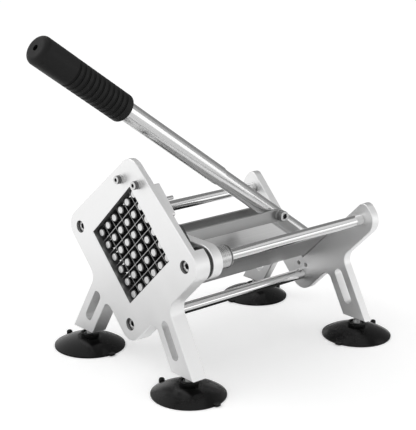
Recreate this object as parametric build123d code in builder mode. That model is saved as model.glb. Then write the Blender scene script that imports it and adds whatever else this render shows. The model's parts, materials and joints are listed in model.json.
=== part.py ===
from build123d import *
from math import cos, radians, sin, sqrt, tan
import os

# A lever press that cuts potatoes into fries. A square blade grid sits on its corner in the
# front plate. The lever at the back pulls a link, and the link pushes a carriage with 36
# pusher pins along two guide rods, through the grid.
# X is to the right seen from the front, Y runs to the back and Z is up. The origin lies on the
# surface that the suction cups stand on, below the middle of the overall length and width.
# All lengths are millimetres and all angles degrees.

os.makedirs("parts", exist_ok=True)

root2 = sqrt(2)

# ---- Fits and gaps -------------------------------------------------------------------------
thread_gap = 0.05       # radial, between a screw and the thread that holds it
hole_gap = 0.25         # radial, between a screw and a plain hole
running_gap = 0.05      # radial, between a bore and what turns or slides in it
seat_gap = 0.3          # between pieces that move past each other
edge_break = 0.5        # chamfer on the outer edges of the plates

# ---- Guide rods and end plates -------------------------------------------------------------
rod_height = 112.0      # guide rods' axes above the standing surface
rod_reach = 69.8        # each rod's axis from the centre of the window
rod_d = 10.0
rod_length = 192.5      # between the end plates
rod_chamfer = 0.8
lobe_r = 14.5           # rounded plate corner about each rod
crown_height = 59.6     # centre of the front plate's top corner above the guide rods
front_thickness = 15.0
skin_thickness = 5.5    # what the blade frame's pocket leaves of the front plate
rear_thickness = 8.5
window_side = 72.2
pocket_reach = 43.5     # centre of the window to the pocket's two lower walls
pocket_corner_r = 3.0
notch_depth = 54.0      # lowest point of the rear plate's notch below the guide rods
arm_corner_r = 7.0      # rear plate's upper tips

# ---- Legs ----------------------------------------------------------------------------------
foot_x = 68.0
foot_height = 17.0
leg_tilt = 30.0         # from the vertical
leg_width = 24.0
leg_run = 75.0          # foot to the leg's end inside the plate, along the leg
waist_r = 11.0          # inside corner on the outer side of a leg
crotch_r = 6.0          # inside corner on the inner side of a leg
slot_width = 8.8
slot_start = 18.2       # foot to the centre of the slot's lower end, along the leg
slot_run = 25.1         # between the centres of the slot's ends

# ---- Screws --------------------------------------------------------------------------------
rod_screw_d = 6.0
rod_screw_grip = 12.0   # length of thread in the rod
rod_screw_recess = 2.5  # head below the front plate's face
rear_bore_depth = 2.5   # counterbore in the rear plate
head_extra = 1.0        # a screw head is this much wider than one and a half shanks
small_screw_d = 4.0
tiny_screw_d = 3.0
counterbore_gap = 0.5   # radial, about a screw head
screw_point_gap = 1.5   # between a screw's end and the bottom of its hole

# ---- Blade frame and blades ----------------------------------------------------------------
frame_gap = 0.3         # pocket wall to the blade frame
frame_reach = 50.4      # centre of the window to the frame's two upper sides
frame_thickness = 6.6
frame_opening = 74.4
frame_corner_r = 2.0
frame_crown_r = 20.0
lug_outer = 53.4        # lug on the right upper side: distance of its edge from the centre
lug_start = -5.0        # along the side, from the centre
lug_end = 26.0
lug_corner_r = 1.5
blade_spacing = 12.4
blade_count = 5
blade_t = 0.5
blade_depth = 6.0
blade_bite = 1.3        # length of a blade's end inside the frame
blade_gap = 0.05
frame_screw_x = 11.25
frame_screw_z = 55.0    # above the guide rods
washer_t = 0.8
spring_washer_t = 1.1
washer_d = 8.0
frame_pin_d = 3.4
frame_pin_along = 12.2  # along the side, from the centre
frame_pin_out = 49.2    # from the centre
frame_pin_length = 17.0
frame_pin_hold = 7.7    # length inside the lug
frame_screw_grip = 6.0  # length of thread in the blade frame

# ---- Pusher and carriage -------------------------------------------------------------------
pin_count = 6
pin_d = 7.2
pin_front = 3.6         # pin ends behind the front plate's face
pin_shank_d = 4.0
pin_chamfer = 0.8
base_clearance = 0.6    # front plate to pusher base
base_t = 3.0
base_reach = 35.8       # centre to the base's four diagonal sides
shoulder_low = (54.6, 14.8)     # outer corner of the base's shoulder: across, above the rods
shoulder_high = (45.5, 25.0)
base_corner_r = 4.0
base_screw_steps = 2    # base screws, in blade spacings from the centre
base_screw_grip = 2.5
base_screw_sunk = 0.5   # head below the carriage plate's back face
carriage_t = 9.9
carriage_reach = 35.0
bush_d = 19.0
bush_spigot_d = 15.0
bush_length = 16.1      # behind the carriage plate
ring_t = 1.6            # ring near the bush's rear end
ring_inset = 0.8        # from the ring to the end of the bush
ring_groove = 0.9
ring_proud = 0.25       # ring above the bush's surface
bumper_d = 26.0

# ---- Trough --------------------------------------------------------------------------------
sheet_t = 1.5
trough_top = 36.0       # half-width between the trough's upper edges
trough_bend_r = 6.2
trough_seat = 0.15      # notch to trough
trough_overlap = 5.3    # length of trough over the rear plate
tab_half_width = 20.0
tab_depth = 62.5        # lower edge of the front tab below the guide rods
tab_corner_r = 4.0
tab_screw_x = 12.0
tab_screw_depth = 57.0  # below the guide rods
tab_screw_length = 9.0

# ---- Lever, link and pivot -----------------------------------------------------------------
pivot_depth = 45.5      # pivot axis below the guide rods
pivot_back = 12.0       # pivot axis behind the rear plate
pivot_d = 8.0
lever_angle = 34.66     # lever above the horizontal, pointing to the front
lever_d = 15.8
lever_spigot_d = 13.0
lever_spigot_length = 30.0
lever_step = 157.4      # pivot to the end of the upper tube
tube_d = 17.2
crank_length = 77.5     # pivot to link bolt
link_pin_back = 9.5     # front link pin behind the carriage plate
link_bolt_d = 6.0
link_height = 11.0
link_t = 2.5
link_gap = 0.4          # lever to link bar
link_edge = 0.3         # chamfer on the bars' edges
bolt_washer_t = 0.8
link_nut_width = 10.0
link_nut_t = 5.0
bolt_end = 1.2          # bolt beyond its nut
ear_t = 3.0
ear_r = 8.5
ear_gap = 0.4           # lever to bracket ear
bracket_clearance = 0.6     # bracket's foot to the counterbore of the tie rod below it
bracket_height = 9.2
bracket_screw_x = 4.55
bracket_screw_rise = 3.5    # screws above the lower edge of the bracket's foot
bracket_screw_inset = 2.5   # screw's end inside the rear plate's front face
pivot_head_t = 3.0
pivot_head_d = 13.0
pivot_nut_t = 6.5
lug_flange_t = 3.0
lug_flange_height = 40.0
lug_screw_offset = 14.0
lug_screw_d = 5.0
lug_screw_grip = 8.0
lug_r = 7.0             # about the front link pin

# ---- Grip ----------------------------------------------------------------------------------
grip_end = 384.5        # pivot to the tip of the grip
grip_length = 100.0
grip_d = 24.6
grip_tip_r = 5.0
grip_heel_r = 2.5
grip_wall = 6.0         # rubber beyond the tube's end
vent_d = 5.0
groove_count = 11
groove_spacing = 5.4
groove_start = 9.0      # heel to the first groove
groove_r = 1.2

# ---- Feet ----------------------------------------------------------------------------------
stud_d = 6.0
stud_grip = 11.0        # length of stud inside the leg
stud_root = 6.0         # height of the stud's lower end
cup_r = 31.6
cup_rim_t = 1.0
cup_neck_r = 8.1
cup_top = 12.5
cup_recess_r = 6.2
cup_recess_floor = 9.0
dome_high = (11.0, 9.2)     # upper end of the dome's arc: radius, height
dome_mid = (22.5, 5.8)
hollow_r = 29.5
hollow_height = 4.6
nub_r = 2.6
nub_height = 4.2
nub_round = 1.8
tongue_width = 6.0
tongue_t = 1.6
tongue_lift = 0.4
jam_nut_width = 10.0
jam_nut_t = 3.0
cup_turns = {           # where each cup's nub points: degrees about the vertical, from the front
    "front_left": -90,
    "front_right": -85,
    "rear_left": 180,
    "rear_right": 192,
}

# ---- Places that follow from the sizes above -----------------------------------------------
axle_back = front_thickness + rod_length + rear_thickness + pivot_back
tip_back = (
    axle_back
    - (grip_end - grip_tip_r) * cos(radians(lever_angle))
    - (grip_d / 2 - grip_tip_r) * sin(radians(lever_angle))
    - grip_tip_r
)
rear_foot_back = front_thickness + rod_length + rear_thickness / 2
cup_back = rear_foot_back + cup_r + nub_r

front_y = -(tip_back + cup_back) / 2            # front plate's front face
front_back_y = front_y + front_thickness        # its back face
rear_y = front_back_y + rod_length              # rear plate's front face
rear_back_y = rear_y + rear_thickness
pivot_y = rear_back_y + pivot_back
pivot_height = rod_height - pivot_depth

base_y = front_back_y + base_clearance
carriage_y = base_y + base_t
carriage_back_y = carriage_y + carriage_t
frame_y = front_y + skin_thickness
blade_y = frame_y + blade_gap
frame_low = pocket_reach - frame_gap

# Rod axes across the machine and above the guide rods, then as heights above the surface.
rod_points = [(-rod_reach, 0), (rod_reach, 0), (0, -rod_reach)]
rod_spots = [(x, rod_height + z) for x, z in rod_points]
guide_spots = rod_spots[:2]
lever_forward = (0, -cos(radians(lever_angle)), sin(radians(lever_angle)))
bolt_y = pivot_y + crank_length * lever_forward[1]
bolt_z = pivot_height + crank_length * lever_forward[2]
link_pin_y = carriage_back_y + link_pin_back
link_length = bolt_y - link_pin_y
link_inner = lever_d / 2 + link_gap
link_outer = link_inner + link_t
ear_inner = lever_d / 2 + ear_gap
ear_outer = ear_inner + ear_t
foot_points = {
    "front_left": (-foot_x, front_y + front_thickness / 2),
    "front_right": (foot_x, front_y + front_thickness / 2),
    "rear_left": (-foot_x, rear_y + rear_thickness / 2),
    "rear_right": (foot_x, rear_y + rear_thickness / 2),
}
front_bore_depth = rod_screw_d + rod_screw_recess  # a screw head is as high as its diameter


# ---- Working planes ------------------------------------------------------------------------
def front_view(y, x=0.0, z=rod_height):
    """Upright plane across the machine, facing the front: its own axes are X and Z."""
    return Plane(origin=(x, y, z), x_dir=(1, 0, 0), z_dir=(0, -1, 0))


def rear_view(y, x=0.0, z=rod_height):
    """Upright plane across the machine, facing the back."""
    return Plane(origin=(x, y, z), x_dir=(-1, 0, 0), z_dir=(0, 1, 0))


def right_view(x, y, z):
    """Upright plane along the machine, facing right: its own axes are Y and Z."""
    return Plane(origin=(x, y, z), x_dir=(0, 1, 0), z_dir=(1, 0, 0))


def left_view(x, y, z):
    """Upright plane along the machine, facing left."""
    return Plane(origin=(x, y, z), x_dir=(0, -1, 0), z_dir=(-1, 0, 0))


def diagonal(y):
    """The front view turned by 45 degrees, in line with the window's sides."""
    return Plane(origin=(0, y, rod_height), x_dir=(1, 0, 1), z_dir=(0, -1, 0))


def along_lever(distance):
    """Plane square to the lever at a distance from the pivot, facing the grip."""
    centre = (0, pivot_y + distance * lever_forward[1], pivot_height + distance * lever_forward[2])
    return Plane(origin=centre, x_dir=(1, 0, 0), z_dir=lever_forward)


def underfoot(x, y):
    """Plane on the underside of a leg's foot, facing down."""
    return Plane(origin=(x, y, foot_height), x_dir=(1, 0, 0), z_dir=(0, 0, -1))


def both_sides(x, z):
    """A point and its mirror image on the left."""
    return [(-x, z), (x, z)]


def front_views(y, spots):
    return [front_view(y, x, z) for x, z in spots]


def rear_views(y, spots):
    return [rear_view(y, x, z) for x, z in spots]


# ---- Patterns for fasteners, made once and placed where they are used ------------------------
STAND = (Align.CENTER, Align.CENTER, Align.MIN)
HANG = (Align.CENTER, Align.CENTER, Align.MAX)


def head_radius(diameter):
    """Head of a socket cap screw."""
    return (1.5 * diameter + head_extra) / 2


def cap_screw(diameter, length):
    """Socket cap screw: the head stands on Z = 0 and the shank points down."""
    with BuildPart() as screw:
        Cylinder(head_radius(diameter), diameter, align=STAND)
        chamfer(screw.edges().group_by(Axis.Z)[-1], 0.08 * diameter)
        Cylinder(diameter / 2, length, align=HANG)
        chamfer(screw.edges().group_by(Axis.Z)[0], 0.1 * diameter)
        with BuildSketch(Plane.XY.offset(diameter)):
            RegularPolygon(0.45 * diameter, 6)
        extrude(amount=-0.55 * diameter, mode=Mode.SUBTRACT)
    return screw.part


def hex_nut(across_flats, height, bore_r):
    """Hexagon nut standing on Z = 0."""
    with BuildPart() as nut:
        with BuildSketch():
            RegularPolygon(across_flats / 2, 6, major_radius=False)
            Circle(bore_r, mode=Mode.SUBTRACT)
        extrude(amount=height)
    return nut.part


def washer(outer_r, inner_r, thickness):
    """Flat ring standing on Z = 0."""
    with BuildPart() as ring:
        Cylinder(outer_r, thickness, align=STAND)
        Cylinder(inner_r, thickness, align=STAND, mode=Mode.SUBTRACT)
    return ring.part


# ---- Outlines shared by both end plates ------------------------------------------------------
half_foot = leg_width / 2 / cos(radians(leg_tilt))
foot_drop = rod_height - foot_height
leg_rise = leg_run * cos(radians(leg_tilt))
leg_shift = leg_run * sin(radians(leg_tilt))

with BuildSketch() as legs:
    with BuildLine():
        Polyline(
            (foot_x - half_foot, -foot_drop),
            (foot_x + half_foot, -foot_drop),
            (foot_x + half_foot - leg_shift, -foot_drop + leg_rise),
            (foot_x - half_foot - leg_shift, -foot_drop + leg_rise),
            close=True,
        )
    make_face()
    mirror(about=Plane.YZ)

slot_mid = slot_start + slot_run / 2
slot_x = foot_x - slot_mid * sin(radians(leg_tilt))
slot_z = -foot_drop + slot_mid * cos(radians(leg_tilt))

with BuildSketch() as leg_slots:
    with Locations((slot_x, slot_z)):
        SlotCenterToCenter(slot_run, slot_width, rotation=90 + leg_tilt)
    mirror(about=Plane.YZ)

# Where the edges of a leg cross the plate's lower diagonal edge.
plate_reach = rod_reach / root2 + lobe_r        # centre of the window to that edge
leg_slope = tan(radians(leg_tilt))
corner_base = foot_x - foot_drop * leg_slope - plate_reach * root2
waist_z = (corner_base + half_foot) / (1 + leg_slope)
crotch_z = (corner_base - half_foot) / (1 + leg_slope)


def join_legs(outline):
    """Add both legs to a plate's outline and round the inside corners where they meet it."""
    add(legs.sketch)
    for corner_z, radius in ((waist_z, waist_r), (crotch_z, crotch_r)):
        corner_x = corner_z + plate_reach * root2
        for side in (-1, 1):
            corner = outline.vertices().sort_by_distance((side * corner_x, corner_z, 0))[0]
            fillet(corner, radius)


# ---- Front plate -----------------------------------------------------------------------------
UP_RIGHT = Axis((0, 0, 0), (1, 1, 0))           # in a diagonal sketch: straight up
cut_side = 2 * rod_reach                        # side of a square cut that runs out of the plate
tab_screw_spots = both_sides(tab_screw_x, rod_height - tab_screw_depth)
frame_screw_spots = both_sides(frame_screw_x, rod_height + frame_screw_z)

with BuildPart() as front_plate:
    with BuildSketch(front_view(front_y)) as front_outline:
        with Locations(*rod_points, (0, crown_height)):
            Circle(lobe_r)
        make_hull()
        join_legs(front_outline)
    extrude(amount=-front_thickness)
    for end in (0, -1):
        chamfer(front_plate.faces().sort_by(Axis.Y)[end].outer_wire().edges(), edge_break)
    with BuildSketch(front_view(front_y)):
        add(leg_slots.sketch)
    extrude(amount=-front_thickness, mode=Mode.SUBTRACT)
    with BuildSketch(diagonal(front_y)):
        Rectangle(window_side, window_side)
    extrude(amount=-skin_thickness, mode=Mode.SUBTRACT)
    with BuildSketch(diagonal(frame_y)) as pocket:
        with Locations((-pocket_reach, -pocket_reach)):
            Rectangle(cut_side, cut_side, align=(Align.MIN, Align.MIN))
        fillet(pocket.vertices().sort_by(UP_RIGHT)[0], pocket_corner_r)
    extrude(amount=-(front_thickness - skin_thickness), mode=Mode.SUBTRACT)
    with Locations(*front_views(front_y, rod_spots)):
        CounterBoreHole(
            rod_screw_d / 2 + hole_gap,
            head_radius(rod_screw_d) + counterbore_gap,
            front_bore_depth,
            front_thickness,
        )
    with Locations(*front_views(front_y, frame_screw_spots)):
        Hole(small_screw_d / 2 + hole_gap, skin_thickness)
    with Locations(*rear_views(front_back_y, tab_screw_spots)):
        Hole(small_screw_d / 2 + thread_gap, tab_screw_length - sheet_t + screw_point_gap)
    with Locations(*[underfoot(x, front_y + front_thickness / 2) for x in (-foot_x, foot_x)]):
        Hole(stud_d / 2 + thread_gap, stud_grip + screw_point_gap)


# ---- Rear plate ------------------------------------------------------------------------------
notch_reach = notch_depth / root2               # centre of the window to the notch's sides
arm_tip = ((plate_reach + notch_reach) / root2, (plate_reach - notch_reach) / root2)
tie_bore_top = rod_height - rod_reach + head_radius(rod_screw_d) + counterbore_gap
bracket_low = tie_bore_top + bracket_clearance
bracket_screw_spots = both_sides(bracket_screw_x, bracket_low + bracket_screw_rise)

with BuildPart() as rear_plate:
    with BuildSketch(front_view(rear_y)) as rear_outline:
        RectangleRounded(2 * plate_reach, 2 * plate_reach, lobe_r, rotation=45)
        join_legs(rear_outline)
        with Locations((0, -notch_depth)):
            Rectangle(
                cut_side, cut_side, rotation=45, align=(Align.MIN, Align.MIN), mode=Mode.SUBTRACT
            )
        for side in (-1, 1):
            tip = rear_outline.vertices().sort_by_distance((side * arm_tip[0], arm_tip[1], 0))[0]
            fillet(tip, arm_corner_r)
    extrude(amount=-rear_thickness)
    for end in (0, -1):
        chamfer(rear_plate.faces().sort_by(Axis.Y)[end].outer_wire().edges(), edge_break)
    with BuildSketch(front_view(rear_y)):
        add(leg_slots.sketch)
    extrude(amount=-rear_thickness, mode=Mode.SUBTRACT)
    with Locations(*rear_views(rear_back_y, rod_spots)):
        CounterBoreHole(
            rod_screw_d / 2 + hole_gap,
            head_radius(rod_screw_d) + counterbore_gap,
            rear_bore_depth,
            rear_thickness,
        )
    with Locations(*rear_views(rear_back_y, bracket_screw_spots)):
        Hole(small_screw_d / 2 + thread_gap, rear_thickness)
    with Locations(*[underfoot(x, rear_y + rear_thickness / 2) for x in (-foot_x, foot_x)]):
        Hole(stud_d / 2 + thread_gap, stud_grip + screw_point_gap)


# ---- Guide rods, tie rod and their screws ----------------------------------------------------
rods = {}
for rod_name, (x, z) in zip(("guide_rod_left", "guide_rod_right", "tie_rod"), rod_spots):
    with BuildPart() as rod:
        with BuildSketch(front_view(front_back_y, x, z)):
            Circle(rod_d / 2)
        extrude(amount=-rod_length)
        ends = rod.edges().group_by(Axis.Y)
        chamfer(ends[0] + ends[-1], rod_chamfer)
        with Locations(front_view(front_back_y, x, z), rear_view(rear_y, x, z)):
            Hole(rod_screw_d / 2 + thread_gap, rod_screw_grip + screw_point_gap)
    rods[rod_name] = rod

front_rod_screw = cap_screw(rod_screw_d, front_thickness - front_bore_depth + rod_screw_grip)
rear_rod_screw = cap_screw(rod_screw_d, rear_thickness - rear_bore_depth + rod_screw_grip)

with BuildPart() as front_rod_screws:
    with Locations(*front_views(front_y + front_bore_depth, rod_spots)):
        add(front_rod_screw)

with BuildPart() as rear_rod_screws:
    with Locations(*rear_views(rear_back_y - rear_bore_depth, rod_spots)):
        add(rear_rod_screw)


# ---- Blade frame, held in the pocket by two screws -------------------------------------------
frame_side = frame_low + frame_reach
blade_span = frame_opening + 2 * blade_bite
lug_foot = (frame_reach + frame_opening / 2) / 2    # lug's edge on the frame, from the centre

with BuildPart() as blade_frame:
    with BuildSketch(diagonal(frame_y)) as frame_outline:
        with Locations((-frame_low, -frame_low)):
            Rectangle(frame_side, frame_side, align=(Align.MIN, Align.MIN))
        fillet(frame_outline.vertices().sort_by(UP_RIGHT)[-1], frame_crown_r)
        fillet(frame_outline.vertices().sort_by(UP_RIGHT)[0], pocket_corner_r)
        for side in (-1, 1):
            sideways = Axis((0, 0, 0), (side, -side, 0))
            fillet(frame_outline.vertices().sort_by(sideways)[-1], frame_corner_r)
        Rectangle(frame_opening, frame_opening, mode=Mode.SUBTRACT)
    extrude(amount=-frame_thickness)
    with BuildSketch(diagonal(frame_y)) as lug_outline:
        with Locations((lug_foot, lug_start)):
            Rectangle(lug_outer - lug_foot, lug_end - lug_start, align=(Align.MIN, Align.MIN))
        fillet(lug_outline.vertices().group_by(Axis.X)[-1], lug_corner_r)
    extrude(amount=-(front_thickness - skin_thickness))
    with BuildSketch(diagonal(frame_y)):
        with GridLocations(blade_spacing, blade_spacing, 1, blade_count):
            Rectangle(blade_span + 2 * blade_gap, blade_t + 2 * blade_gap)
        with GridLocations(blade_spacing, blade_spacing, blade_count, 1):
            Rectangle(blade_t + 2 * blade_gap, blade_span + 2 * blade_gap)
    extrude(amount=-(blade_depth + 2 * blade_gap), mode=Mode.SUBTRACT)
    with Locations(*front_views(frame_y, frame_screw_spots)):
        Hole(small_screw_d / 2 + thread_gap, frame_thickness)
    with BuildSketch(diagonal(front_back_y)):
        with Locations((frame_pin_out, frame_pin_along)):
            Circle(frame_pin_d / 2 + thread_gap)
    extrude(amount=frame_pin_hold + seat_gap, mode=Mode.SUBTRACT)

with BuildPart() as frame_pin:
    with BuildSketch(diagonal(front_back_y - frame_pin_hold)):
        with Locations((frame_pin_out, frame_pin_along)):
            Circle(frame_pin_d / 2)
    extrude(amount=-frame_pin_length)
    chamfer(frame_pin.edges().group_by(Axis.Y)[-1], edge_break)

frame_washer = washer(washer_d / 2, small_screw_d / 2 + hole_gap, washer_t)
frame_spring_washer = washer(
    head_radius(small_screw_d), small_screw_d / 2 + hole_gap, spring_washer_t
)
frame_screw = cap_screw(
    small_screw_d, washer_t + spring_washer_t + skin_thickness + frame_screw_grip
)

with BuildPart() as frame_washers:
    with Locations(*front_views(front_y, frame_screw_spots)):
        add(frame_washer)

with BuildPart() as frame_spring_washers:
    with Locations(*front_views(front_y - washer_t, frame_screw_spots)):
        add(frame_spring_washer)

with BuildPart() as frame_screws:
    with Locations(*front_views(front_y - washer_t - spring_washer_t, frame_screw_spots)):
        add(frame_screw)


# ---- Blades: two sets of strips, half-lapped into a grid -------------------------------------
lap_side = blade_t + 2 * blade_gap
lap_y = blade_y + blade_depth / 2               # the strips meet halfway down their depth

with BuildPart() as rising_blades:
    with BuildSketch(diagonal(blade_y)):
        with GridLocations(blade_spacing, blade_spacing, 1, blade_count):
            Rectangle(blade_span, blade_t)
    extrude(amount=-blade_depth)
    with BuildSketch(diagonal(lap_y - blade_gap)):
        with GridLocations(blade_spacing, blade_spacing, blade_count, blade_count):
            Rectangle(lap_side, lap_side)
    extrude(amount=-blade_depth, mode=Mode.SUBTRACT)

with BuildPart() as falling_blades:
    with BuildSketch(diagonal(blade_y)):
        with GridLocations(blade_spacing, blade_spacing, blade_count, 1):
            Rectangle(blade_t, blade_span)
    extrude(amount=-blade_depth)
    with BuildSketch(diagonal(lap_y + blade_gap)):
        with GridLocations(blade_spacing, blade_spacing, blade_count, blade_count):
            Rectangle(lap_side, lap_side)
    extrude(amount=blade_depth, mode=Mode.SUBTRACT)


# ---- Pusher: pins on a plastic base ----------------------------------------------------------
base_corner = base_reach * root2
base_screw_steps_out = base_screw_steps * blade_spacing * root2
base_screw_spots = [
    (-base_screw_steps_out, rod_height),
    (base_screw_steps_out, rod_height),
    (0, rod_height - base_screw_steps_out),
    (0, rod_height + base_screw_steps_out),
]

with BuildPart() as pusher_pins:
    with BuildSketch(diagonal(front_y + pin_front)):
        with GridLocations(blade_spacing, blade_spacing, pin_count, pin_count):
            Circle(pin_d / 2)
    extrude(amount=-(base_y - front_y - pin_front))
    chamfer(pusher_pins.edges().group_by(Axis.Y)[0], pin_chamfer)
    with BuildSketch(diagonal(base_y)):
        with GridLocations(blade_spacing, blade_spacing, pin_count, pin_count):
            Circle(pin_shank_d / 2)
    extrude(amount=-base_t)

with BuildPart() as pusher_base:
    with BuildSketch(front_view(base_y)) as base_outline:
        with BuildLine():
            Polyline(
                (0, -base_corner),
                (base_corner, 0),
                shoulder_low,
                shoulder_high,
                (base_corner - shoulder_high[1], shoulder_high[1]),
                (0, base_corner),
                (0, -base_corner),
            )
        make_face()
        mirror(about=Plane.YZ)
        fillet(base_outline.vertices().sort_by(Axis.Y)[0], base_corner_r)
        fillet(base_outline.vertices().sort_by(Axis.Y)[-1], base_corner_r)
    extrude(amount=-base_t)
    with BuildSketch(diagonal(base_y)):
        with GridLocations(blade_spacing, blade_spacing, pin_count, pin_count):
            Circle(pin_shank_d / 2 + thread_gap)
    extrude(amount=-base_t, mode=Mode.SUBTRACT)
    with Locations(*rear_views(carriage_y, base_screw_spots)):
        Hole(tiny_screw_d / 2 + thread_gap, base_screw_grip + thread_gap)


# ---- Carriage plate --------------------------------------------------------------------------
base_bore_depth = tiny_screw_d + base_screw_sunk
lug_screw_spots = [(0, bolt_z - lug_screw_offset), (0, bolt_z + lug_screw_offset)]

with BuildPart() as carriage_plate:
    with BuildSketch(front_view(carriage_y)) as carriage_outline:
        SlotCenterToCenter(2 * rod_reach, 2 * lobe_r)
        Rectangle(2 * carriage_reach, 2 * carriage_reach, rotation=45)
        fillet(carriage_outline.vertices().sort_by(Axis.Y)[0], base_corner_r)
        fillet(carriage_outline.vertices().sort_by(Axis.Y)[-1], base_corner_r)
    extrude(amount=-carriage_t)
    for end in (0, -1):
        chamfer(carriage_plate.faces().sort_by(Axis.Y)[end].outer_wire().edges(), edge_break)
    with Locations(*rear_views(carriage_back_y, guide_spots)):
        Hole(bush_spigot_d / 2, carriage_t)
    with Locations(*rear_views(carriage_back_y, lug_screw_spots)):
        Hole(lug_screw_d / 2 + thread_gap, lug_screw_grip + thread_gap)
    with Locations(*rear_views(carriage_back_y, base_screw_spots)):
        CounterBoreHole(
            tiny_screw_d / 2 + hole_gap,
            head_radius(tiny_screw_d) + counterbore_gap,
            base_bore_depth,
            carriage_t,
        )

base_screw = cap_screw(tiny_screw_d, carriage_t - base_bore_depth + base_screw_grip)

with BuildPart() as base_screws:
    with Locations(*rear_views(carriage_back_y - base_bore_depth, base_screw_spots)):
        add(base_screw)


# ---- Guide bushes, with a ring each, and rubber bumpers on the guide rods --------------------
ring_y = carriage_back_y + bush_length - ring_inset - ring_t
bushes = {}
bush_rings = {}
bumpers = {}
for side, (x, z) in zip(("left", "right"), guide_spots):
    with BuildPart() as bush:
        with BuildSketch(front_view(carriage_y, x, z)):
            Circle(bush_spigot_d / 2)
        extrude(amount=-carriage_t)
        with BuildSketch(front_view(carriage_back_y, x, z)):
            Circle(bush_d / 2)
        extrude(amount=-bush_length)
        chamfer(bush.edges().group_by(Axis.Y)[-1], ring_inset / 2)
        with BuildSketch(front_view(ring_y, x, z)):
            Circle(bush_d / 2)
            Circle(bush_d / 2 - ring_groove, mode=Mode.SUBTRACT)
        extrude(amount=-ring_t, mode=Mode.SUBTRACT)
        with Locations(front_view(carriage_y, x, z)):
            Hole(rod_d / 2 + running_gap, carriage_t + bush_length)
    bushes[side] = bush

    with BuildPart() as bush_ring:
        with BuildSketch(front_view(ring_y, x, z)):
            Circle(bush_d / 2 + ring_proud)
            Circle(bush_d / 2 - ring_groove, mode=Mode.SUBTRACT)
        extrude(amount=-ring_t)
        chamfer(bush_ring.edges().sort_by(SortBy.LENGTH)[-2:], ring_proud)
    bush_rings[side] = bush_ring

    with BuildPart() as bumper:
        with BuildSketch(front_view(front_back_y, x, z)):
            Circle(bumper_d / 2)
            Circle(rod_d / 2 + running_gap, mode=Mode.SUBTRACT)
        extrude(amount=-(carriage_y - front_back_y - seat_gap))
    bumpers[side] = bumper


# ---- Potato trough: folded sheet with a tab under its front end ------------------------------
trough_reach = notch_reach - trough_seat        # centre of the window to the sheet's outside
wall_top = trough_top * root2 - (trough_reach - sheet_t)
tab_height = tab_depth - trough_reach           # enough to reach into the fold
trough_length = rod_length + trough_overlap

with BuildPart() as potato_trough:
    with BuildSketch(diagonal(front_back_y)) as trough_section:
        with Locations((-trough_reach, -trough_reach)):
            Rectangle(
                wall_top + trough_reach, wall_top + trough_reach, align=(Align.MIN, Align.MIN)
            )
        fillet(trough_section.vertices().sort_by(UP_RIGHT)[0], trough_bend_r + sheet_t)
        with BuildSketch(mode=Mode.PRIVATE) as trough_inside:
            with Locations((sheet_t - trough_reach, sheet_t - trough_reach)):
                Rectangle(cut_side, cut_side, align=(Align.MIN, Align.MIN))
            fillet(trough_inside.vertices().sort_by(UP_RIGHT)[0], trough_bend_r)
        add(trough_inside.sketch_local, mode=Mode.SUBTRACT)
    extrude(amount=-trough_length)
    with BuildSketch(front_view(front_back_y)) as tab_outline:
        with Locations((0, -tab_depth)):
            Rectangle(2 * tab_half_width, tab_height, align=(Align.CENTER, Align.MIN))
        fillet(tab_outline.vertices().group_by(Axis.Y)[0], tab_corner_r)
    extrude(amount=-sheet_t)
    with BuildSketch(diagonal(front_back_y)):
        add(trough_inside.sketch_local)
    extrude(amount=-sheet_t, mode=Mode.SUBTRACT)
    with Locations(*rear_views(front_back_y + sheet_t, tab_screw_spots)):
        Hole(small_screw_d / 2 + hole_gap, sheet_t)

with BuildPart() as trough_screws:
    with Locations(*rear_views(front_back_y + sheet_t, tab_screw_spots)):
        add(cap_screw(small_screw_d, tab_screw_length))


# ---- Pivot bracket behind the rear plate, with its screws, bolt and nut ----------------------
with BuildPart() as pivot_bracket:
    with BuildSketch(right_view(ear_inner, pivot_y, pivot_height)):
        Circle(ear_r)
        with Locations((-pivot_back, bracket_low - pivot_height)):
            Rectangle(ear_t, bracket_height, align=(Align.MIN, Align.MIN))
        make_hull()
    extrude(amount=ear_t)
    mirror(about=Plane.YZ)
    with BuildSketch(rear_view(rear_back_y, 0, bracket_low)):
        Rectangle(2 * ear_outer, bracket_height, align=(Align.CENTER, Align.MIN))
    extrude(amount=ear_t)
    with Locations(right_view(ear_outer, pivot_y, pivot_height)):
        Hole(pivot_d / 2 + running_gap, 2 * ear_outer)
    with Locations(*rear_views(rear_back_y + ear_t, bracket_screw_spots)):
        Hole(small_screw_d / 2 + hole_gap, ear_t)

with BuildPart() as bracket_screws:
    with Locations(*rear_views(rear_back_y + ear_t, bracket_screw_spots)):
        add(cap_screw(small_screw_d, ear_t + rear_thickness - bracket_screw_inset))

with BuildPart() as pivot_bolt:
    with BuildSketch(right_view(ear_outer, pivot_y, pivot_height)):
        Circle(pivot_head_d / 2)
    extrude(amount=pivot_head_t)
    chamfer(pivot_bolt.edges().group_by(Axis.X)[-1], edge_break)
    with BuildSketch(left_view(ear_outer, pivot_y, pivot_height)):
        Circle(pivot_d / 2)
    extrude(amount=2 * ear_outer + pivot_nut_t + bolt_end)
    chamfer(pivot_bolt.edges().group_by(Axis.X)[0], edge_break)

with BuildPart() as pivot_nut:
    with Locations(left_view(-ear_outer, pivot_y, pivot_height)):
        add(hex_nut(pivot_head_d, pivot_nut_t, pivot_d / 2 + thread_gap))


# ---- Link: two flat bars between the carriage and the lever ----------------------------------
link_pin_spot = (link_pin_y, bolt_z)
link_bolt_spot = (bolt_y, bolt_z)

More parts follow.
